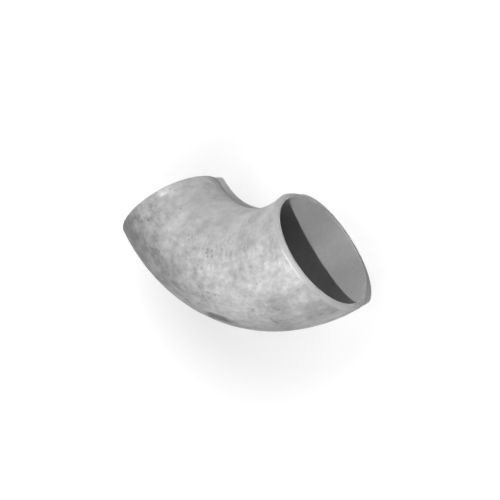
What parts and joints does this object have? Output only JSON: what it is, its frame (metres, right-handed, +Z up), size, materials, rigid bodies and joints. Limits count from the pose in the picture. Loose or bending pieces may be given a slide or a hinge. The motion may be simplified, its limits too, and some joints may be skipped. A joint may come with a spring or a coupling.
{
  "type": "pipe elbow",
  "caption": "Long-radius 90 degree butt-weld pipe elbow: one smooth bent steel tube with short straight ends, each bevelled for welding.",
  "frame": {"origin": "centre of port A's face, on that port's axis", "axes": "port A opens along -X and port B along +Y; +Z is up, square to the bend plane, with the elbow lying on its side"},
  "size_m": [0.0692, 0.0692, 0.0424],
  "materials": {
    "steel": "shot-blasted steel, matt and mottled"
  },
  "bodies": {
    "root": {"elbow_body": "steel"}
  },
  "joints": []
}
